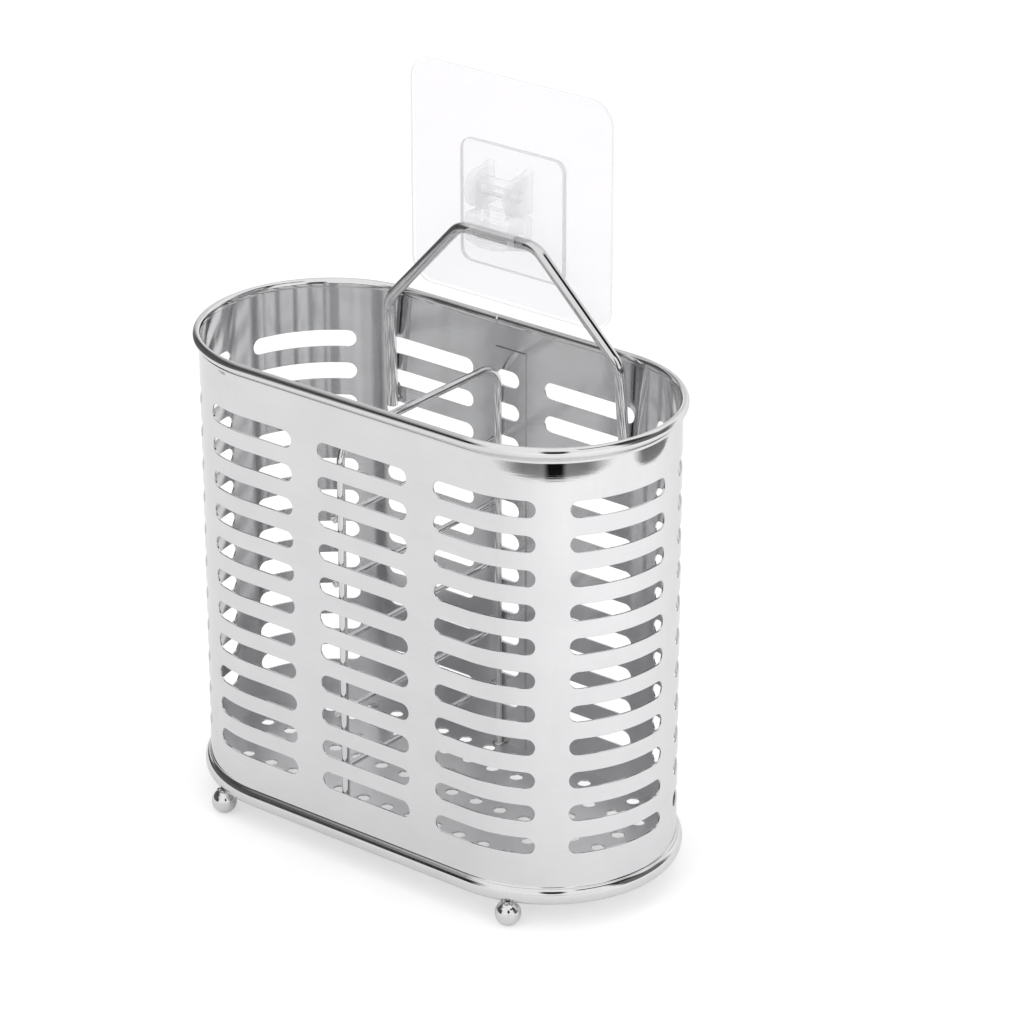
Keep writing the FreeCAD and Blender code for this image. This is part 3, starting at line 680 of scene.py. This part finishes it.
def make_floor_plate():
    holes, rim = floor_holes(), HOLE + HOLE_LIP
    edge = [
        on_oval(PERIMETER * step / PLATE_STEPS, 0.0, -SHEET).to_2d() for step in range(PLATE_STEPS)
    ]
    loops = [edge] + [
        [center + Vector((math.cos(angle), math.sin(angle))) * rim for angle in turns(HOLE_STEPS)]
        for center in holes
    ]
    spots, lines = [], []
    for loop in loops:
        first = len(spots)
        spots += loop
        lines += [(first + step, first + (step + 1) % len(loop)) for step in range(len(loop))]
    flat, _, triangles, *_ = delaunay_2d_cdt(spots, lines, [], INSIDE_BOUND, SAME_SPOT)
    plate = Skin()
    for level, normal in ((FLOOR_TOP, UP), (FLOOR_BOTTOM, -UP)):
        first = len(plate.points)
        for spot in flat:
            plate.vertex(spot.to_3d() + UP * level, normal)
        for triangle in triangles:
            middle = sum((flat[corner] for corner in triangle), Vector((0, 0))) / 3
            if all((middle - center).length > HOLE + HOLE_LIP / 2 for center in holes):
                plate.faces.append(tuple(first + corner for corner in triangle))
    for center in holes:
        rings = []
        for radius, level, up in (
            (rim, FLOOR_TOP, 1),
            (HOLE, FLOOR_TOP - HOLE_LIP, 0),
            (HOLE, FLOOR_BOTTOM + HOLE_LIP, 0),
            (rim, FLOOR_BOTTOM, -1),
        ):
            ring = []
            for angle in turns(HOLE_STEPS):
                out = Vector((math.cos(angle), math.sin(angle), 0))
                spot = center.to_3d() + out * radius + UP * level
                ring.append(plate.vertex(spot, UP * up if up else -out))
            rings.append(ring)
        for first, second in zip(rings, rings[1:]):
            plate.strip(first, second)
    made = plate.piece("pierced_floor", floor_steel_painted_light, "rack")
    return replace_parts(made, "floor_pan")


make_wall()
make_lap()
make_rim()
make_base()
make_floor_plate()


# Welds: small lumpy beads where the wires, the bail and the feet are fixed.

LUMP_SIZE, LUMP_STRETCH, LUMP_SPREAD = 0.22, 1.7, 900
CROSS_LEVELS = (0.0314, 0.0513, 0.0754, 0.0958, 0.1173)
ARCH_FRONT, ARCH_BACK = -0.03815, 0.03765
WIRE_FRONT, WIRE_BACK = -0.0389, 0.0385
ARCH_BEAD_X, WIRE_BEAD_X, FOOT_BEAD_X = -0.0074, -0.0084, -0.0062
ARCH_BEAD, WIRE_BEAD = (0.0009, 0.0011, 0.0010), (0.0013, 0.0006, 0.0013)
ARCH_FOOT_LEVEL, ARCH_FOOT_BEAD = 0.0107, (0.0019, 0.0018, 0.0008)
BAIL_LEFT, BAIL_RIGHT, BAIL_DEPTH = -0.0491, 0.0441, 0.0388
BAIL_BEADS = ((0.1212, (0.0018, 0.0006, 0.0014)), (0.1258, (0.0017, 0.0006, 0.0013)))
FOOT_WELD_RADIUS, FOOT_WELD_LEVEL, FOOT_BEAD = 0.0013, 0.0079, (0.0009, 0.0009, 0.0005)


def make_welds(name, beads):
    """One piece of several beads, each a middle and three radii."""
    shape = bmesh.new()
    for middle, radii in beads:
        middle = Vector(middle)
        made = bmesh.ops.create_icosphere(shape, subdivisions=3, radius=1.0)
        for vertex in made["verts"]:
            spot = vertex.co.copy()
            lump = 1 + LUMP_SIZE * noise.noise(spot * LUMP_STRETCH + middle * LUMP_SPREAD)
            vertex.co = middle + Vector(part * radius for part, radius in zip(spot, radii)) * lump
    for face in shape.faces:
        face.smooth = True
    mesh = bpy.data.meshes.new(name)
    shape.to_mesh(mesh)
    shape.free()
    mesh.materials.append(weld_steel)
    made = new_object(name, mesh)
    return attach(made, "rack")


for label, arch, wire in (("front", ARCH_FRONT, WIRE_FRONT), ("back", ARCH_BACK, WIRE_BACK)):
    make_welds(f"divider_welds_{label}", [
        ((ARCH_BEAD_X, arch, level), ARCH_BEAD) for level in CROSS_LEVELS
    ] + [
        ((WIRE_BEAD_X, wire, level), WIRE_BEAD) for level in CROSS_LEVELS
    ])
make_welds("arch_foot_welds", [
    ((FOOT_BEAD_X, arch, ARCH_FOOT_LEVEL), ARCH_FOOT_BEAD) for arch in (ARCH_FRONT, ARCH_BACK)
])
for label, leg in (("left", BAIL_LEFT), ("right", BAIL_RIGHT)):
    make_welds(f"bail_weld_{label}", [
        ((leg, BAIL_DEPTH, level), bead) for level, bead in BAIL_BEADS
    ])
for label in ("front_left", "front_right", "back_left", "back_right"):
    low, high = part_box(f"foot_{label}")
    middle = (low + high) / 2
    make_welds(f"foot_weld_{label}", [
        ((
            middle.x + FOOT_WELD_RADIUS * math.cos(turn),
            middle.y + FOOT_WELD_RADIUS * math.sin(turn),
            FOOT_WELD_LEVEL,
        ), FOOT_BEAD)
        for turn in turns(5)
    ])


# Hook: the moulded pieces with rounded edges, each a hair clear of its neighbour.

SAME_VERTEX, HAIR = 1e-6, 0.00003
FLAT_ANGLE, SHARP_ANGLE, ROUND_SEGMENTS = math.radians(1.0), math.radians(35), 3


def moulded(node, name, material, round_off):
    """A copy of a node's solid with its sharp edges rounded."""
    mesh = nodes[node].data.copy()
    mesh.name = name
    shape = bmesh.new()
    shape.from_mesh(mesh)
    bmesh.ops.remove_doubles(shape, verts=shape.verts, dist=SAME_VERTEX)
    bmesh.ops.dissolve_limit(
        shape, angle_limit=FLAT_ANGLE, verts=shape.verts, edges=shape.edges,
    )
    sharp = [
        edge for edge in shape.edges if edge.is_manifold and edge.calc_face_angle() > SHARP_ANGLE
    ]
    bmesh.ops.bevel(
        shape, geom=sharp, offset=round_off, segments=ROUND_SEGMENTS, profile=0.5,
        affect="EDGES", clamp_overlap=True,
    )
    bmesh.ops.recalc_face_normals(shape, faces=shape.faces)
    shape.normal_update()
    for vertex in shape.verts:
        vertex.co -= vertex.normal * HAIR
    for face in shape.faces:
        face.smooth = True
    shape.to_mesh(mesh)
    shape.free()
    mesh.materials.clear()
    mesh.materials.append(material)
    made = new_object(name, mesh)
    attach(made, next(body for body, members in bodies.items() if node in members))
    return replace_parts(made, node)


moulded("hook_base", "moulded_hook", clear_plastic, 0.00035)
moulded("hook_latch", "moulded_latch", clear_plastic, 0.00045)
moulded("latch_pin", "moulded_pin", clear_plastic, 0.0002)
moulded("wall_pad", "clear_pad", clear_sheet, 0.0002)
moulded("adhesive_film", "sticky_film", film, 0.00008)


# Studio: pale floor, white surround with darker gaps beside the soft boxes, lamps and dark cards.

FLOOR_REACH, PAPER_STRETCH = 12.0, (40, 40, 40)
FLOOR_TONES, FLOOR_SEEN_TONES = (0.78, 0.80), (0.64, 0.66)
FLOOR_SEEN_GLOW = 0.45
FLOOR_MIRROR_GLOW, FLOOR_MIRROR_LEFT, FLOOR_MIRROR_RIGHT = (0.09, 0.27), 0.02, 0.3
SURROUND_TONE, WHITE = 0.9, 1.0
LAMP_TARGET = Vector((0, 0, 0.1))
FLAG_STEPS, CLOTH_STRETCH, CLOTH_MOTTLE = 32, (30, 30, 30), 0.1
FLAG_CORE, FLAG_FULL_HEIGHT = 0.45, 0.5  # shares of half its width and of its height
FLAG_TIP = 0.001  # keeps an oval card from closing to a line at its ends


def seen_straight(tree, path):
    """1 for what the camera sees itself or through clear plastic."""
    return tree.math("MAXIMUM", path.outputs["Is Camera Ray"], path.outputs["Is Transmission Ray"])


def make_floor():
    mesh = bpy.data.meshes.new("studio_floor")
    corners = [(-1, -1), (1, -1), (1, 1), (-1, 1)]
    mesh.from_pydata([(x * FLOOR_REACH, y * FLOOR_REACH, 0) for x, y in corners], [], [(0, 1, 2, 3)])
    floor = new_object("studio_floor", mesh)
    material, tree = new_material("pale_floor")
    path = tree.add("ShaderNodeLightPath")
    shown = seen_straight(tree, path)
    rightward = tree.share(tree.axis(tree.place("Object"), "X"), FLOOR_MIRROR_LEFT, FLOOR_MIRROR_RIGHT)
    mirrored = tree.math(
        "MULTIPLY", path.outputs["Is Glossy Ray"], tree.between(rightward, *FLOOR_MIRROR_GLOW),
    )
    paper = tree.noise(PAPER_STRETCH)
    colour = tree.mix(shown, tree.tones(paper, *FLOOR_TONES), tree.tones(paper, *FLOOR_SEEN_TONES))
    diffuse = tree.add("ShaderNodeBsdfDiffuse", {"Color": colour})
    glow = tree.add("ShaderNodeEmission", {
        "Color": grey(WHITE),
        "Strength": tree.math("ADD", tree.math("MULTIPLY", shown, FLOOR_SEEN_GLOW), mirrored),
    })
    both = tree.add("ShaderNodeAddShader")
    tree.set(both.inputs[0], diffuse.outputs[0])
    tree.set(both.inputs[1], glow.outputs[0])
    finish_material(tree, both)
    mesh.materials.append(material)


def make_world():
    """White to look at, and toned round the rack where the metal mirrors it."""
    world = bpy.data.worlds.new("studio_world")
    world.use_nodes = True
    scene.world = world
    tree = Tree(world.node_tree)
    path = tree.add("ShaderNodeLightPath")
    direction = tree.add("ShaderNodeSeparateXYZ", {"Vector": tree.place("Generated")})
    # Azimuth from 0 to 1, with 0.5 looking out over the front of the rack.
    x, y, z = (direction.outputs[axis] for axis in "XYZ")
    azimuth = tree.math("ARCTAN2", x, tree.math("MULTIPLY", y, -1.0))
    turn = tree.math("ADD", tree.math("DIVIDE", azimuth, 2 * math.pi), 0.5)

    def zone(*stops):
        """Tones round the rack, from (degrees, tone) stops."""
        return tree.ramp(turn, [(degrees / 360 + 0.5, tone) for degrees, tone in stops])

    mirrored = zone((96, 1.0), (104, 0.08), (140, 0.08), (152, 1.0))
    middle = zone((-60, 0.8), (-45, 1.0), (90, 1.0), (98, 0.05), (128, 0.05), (140, 1.0))
    high = zone(
        (-165, 1.0), (-148, 0.6), (-60, 0.6), (-40, 1.0),
        (64, 1.0), (68, 0.01), (128, 0.01), (138, 1.0),
    )
    # Each zone takes over from the one below it between two heights of the direction.
    for above, start, end in ((middle, 0.2, 0.26), (high, 0.65, 0.69), (grey(WHITE), 0.79, 0.83)):
        mirrored = tree.mix(tree.share(z, start, end), mirrored, above)
    surround = tree.mix(path.outputs["Is Glossy Ray"], grey(SURROUND_TONE), mirrored)
    colour = tree.mix(seen_straight(tree, path), surround, grey(WHITE))
    background = tree.add("ShaderNodeBackground", {"Color": colour, "Strength": 1.0})
    tree.add("ShaderNodeOutputWorld", {"Surface": background.outputs[0]})


def make_lamp(name, azimuth, elevation, distance, width, height, power):
    data = bpy.data.lights.new(name, "AREA")
    data.shape = "RECTANGLE"
    data.size, data.size_y = width, height
    data.energy = power
    lamp = new_object(name, data)
    look_at(lamp, LAMP_TARGET, azimuth, elevation, distance)
    lamp.visible_glossy = False


def flag_mesh(name, center, turn, distance, levels, rounded):
    points, faces = [], []
    start, end = turn
    middle = (levels[0] + levels[1]) / 2
    for step in range(FLAG_STEPS + 1):
        share = 2 * step / FLAG_STEPS - 1
        azimuth = math.radians(start + (end - start) * step / FLAG_STEPS)
        away = distance[0] + (distance[1] - distance[0]) * share * share
        half = (levels[1] - levels[0]) / 2
        if rounded:
            half *= math.sqrt(max(FLAG_TIP, 1 - share * share))
        x, y = center + away * math.sin(azimuth), -away * math.cos(azimuth)
        points += [(x, y, middle - half), (x, y, middle + half)]
        if step:
            faces.append((2 * step - 2, 2 * step, 2 * step + 1, 2 * step - 1))
    mesh = bpy.data.meshes.new(name)
    mesh.from_pydata(points, [], faces)
    return mesh


def flag_cloth(name, center, turn, tones):
    """Dark cloth, toned from foot to top, that fades out to the card's ends and top."""
    material, tree = new_material(name)
    height = tree.axis(tree.place("Generated"), "Z")
    mottle = tree.between(tree.noise(CLOTH_STRETCH), -CLOTH_MOTTLE, CLOTH_MOTTLE)
    tone = tree.ramp(tree.math("ADD", height, mottle), [(0.0, tones[0]), (1.0, tones[1])])
    cloth = tree.add("ShaderNodeBsdfDiffuse", {"Color": tone})
    spot = tree.add("ShaderNodeSeparateXYZ", {"Vector": tree.place("Object")})
    bearing = tree.math(
        "ARCTAN2",
        tree.math("SUBTRACT", spot.outputs["X"], center),
        tree.math("MULTIPLY", spot.outputs["Y"], -1.0),
    )
    start, end = (math.radians(degrees) for degrees in turn)
    half_turn = (end - start) / 2
    off_middle = tree.math("ABSOLUTE", tree.math("SUBTRACT", bearing, start + half_turn))
    inside = tree.share(off_middle, half_turn, FLAG_CORE * half_turn, "SMOOTHSTEP")
    below = tree.share(height, 1.0, FLAG_FULL_HEIGHT, "SMOOTHSTEP")
    shader = tree.add("ShaderNodeMixShader", {"Fac": tree.math("MULTIPLY", inside, below)})
    tree.set(shader.inputs[1], tree.add("ShaderNodeBsdfTransparent").outputs[0])
    tree.set(shader.inputs[2], cloth.outputs[0])
    finish_material(tree, shader)
    return material


def make_flag(name, side, turn, distance, levels, tones, rounded=False):
    """A dark card standing round one end of the rack, that only shows in the polished metal.

    Side is 1 for the right end, -1 for the left. The card spans a turn in degrees, keeps the first
    distance in its middle and the second at its ends, and is an oval if rounded."""
    center = side * HALF_STRAIGHT
    mesh = flag_mesh(name, center, turn, distance, levels, rounded)
    mesh.materials.append(flag_cloth(name, center, turn, tones))
    flag = new_object(name, mesh)
    flag.visible_camera = flag.visible_diffuse = False
    flag.visible_transmission = flag.visible_shadow = False


make_floor()
make_world()
make_lamp("left_soft_box", -1.0, 32.0, 1.6, 1.0, 1.1, 2.4)
make_lamp("right_soft_box", 75.0, 32.0, 1.6, 1.0, 1.1, 2.4)
make_lamp("top_soft_box", 38.0, 84.0, 1.6, 1.3, 1.3, 2.6)
make_flag("camera_side_flag", 1, (28, 56), (0.378, 0.378), (0.11, 0.42), (0.01, 0.01), True)
make_flag("camera_low_flag", 1, (32, 53), (0.3745, 0.3745), (0.0, 0.02), (0.005, 0.005))
make_flag("front_low_flag", 1, (-14, 98), (0.3752, 0.3756), (0.0, 0.012), (0.34, 0.16), True)
make_flag("right_low_flag", 1, (108, 162), (0.366, 0.366), (0.0, 0.02), (0.3, 0.05), True)
make_flag("left_low_flag", -1, (-73, -58), (0.395, 0.395), (0.0, 0.003), (0.05, 0.1))
make_flag("left_side_flag", -1, (-134, -12), (0.42, 0.42), (0.0, 0.7), (0.14, 0.03))
make_flag("far_left_flag", -1, (-78, -4), (1.0, 1.0), (0.02, 0.8), (0.02, 0.02))
make_flag("right_side_flag", 1, (90, 158), (0.42, 0.42), (0.0, 0.36), (0.2, 0.14))
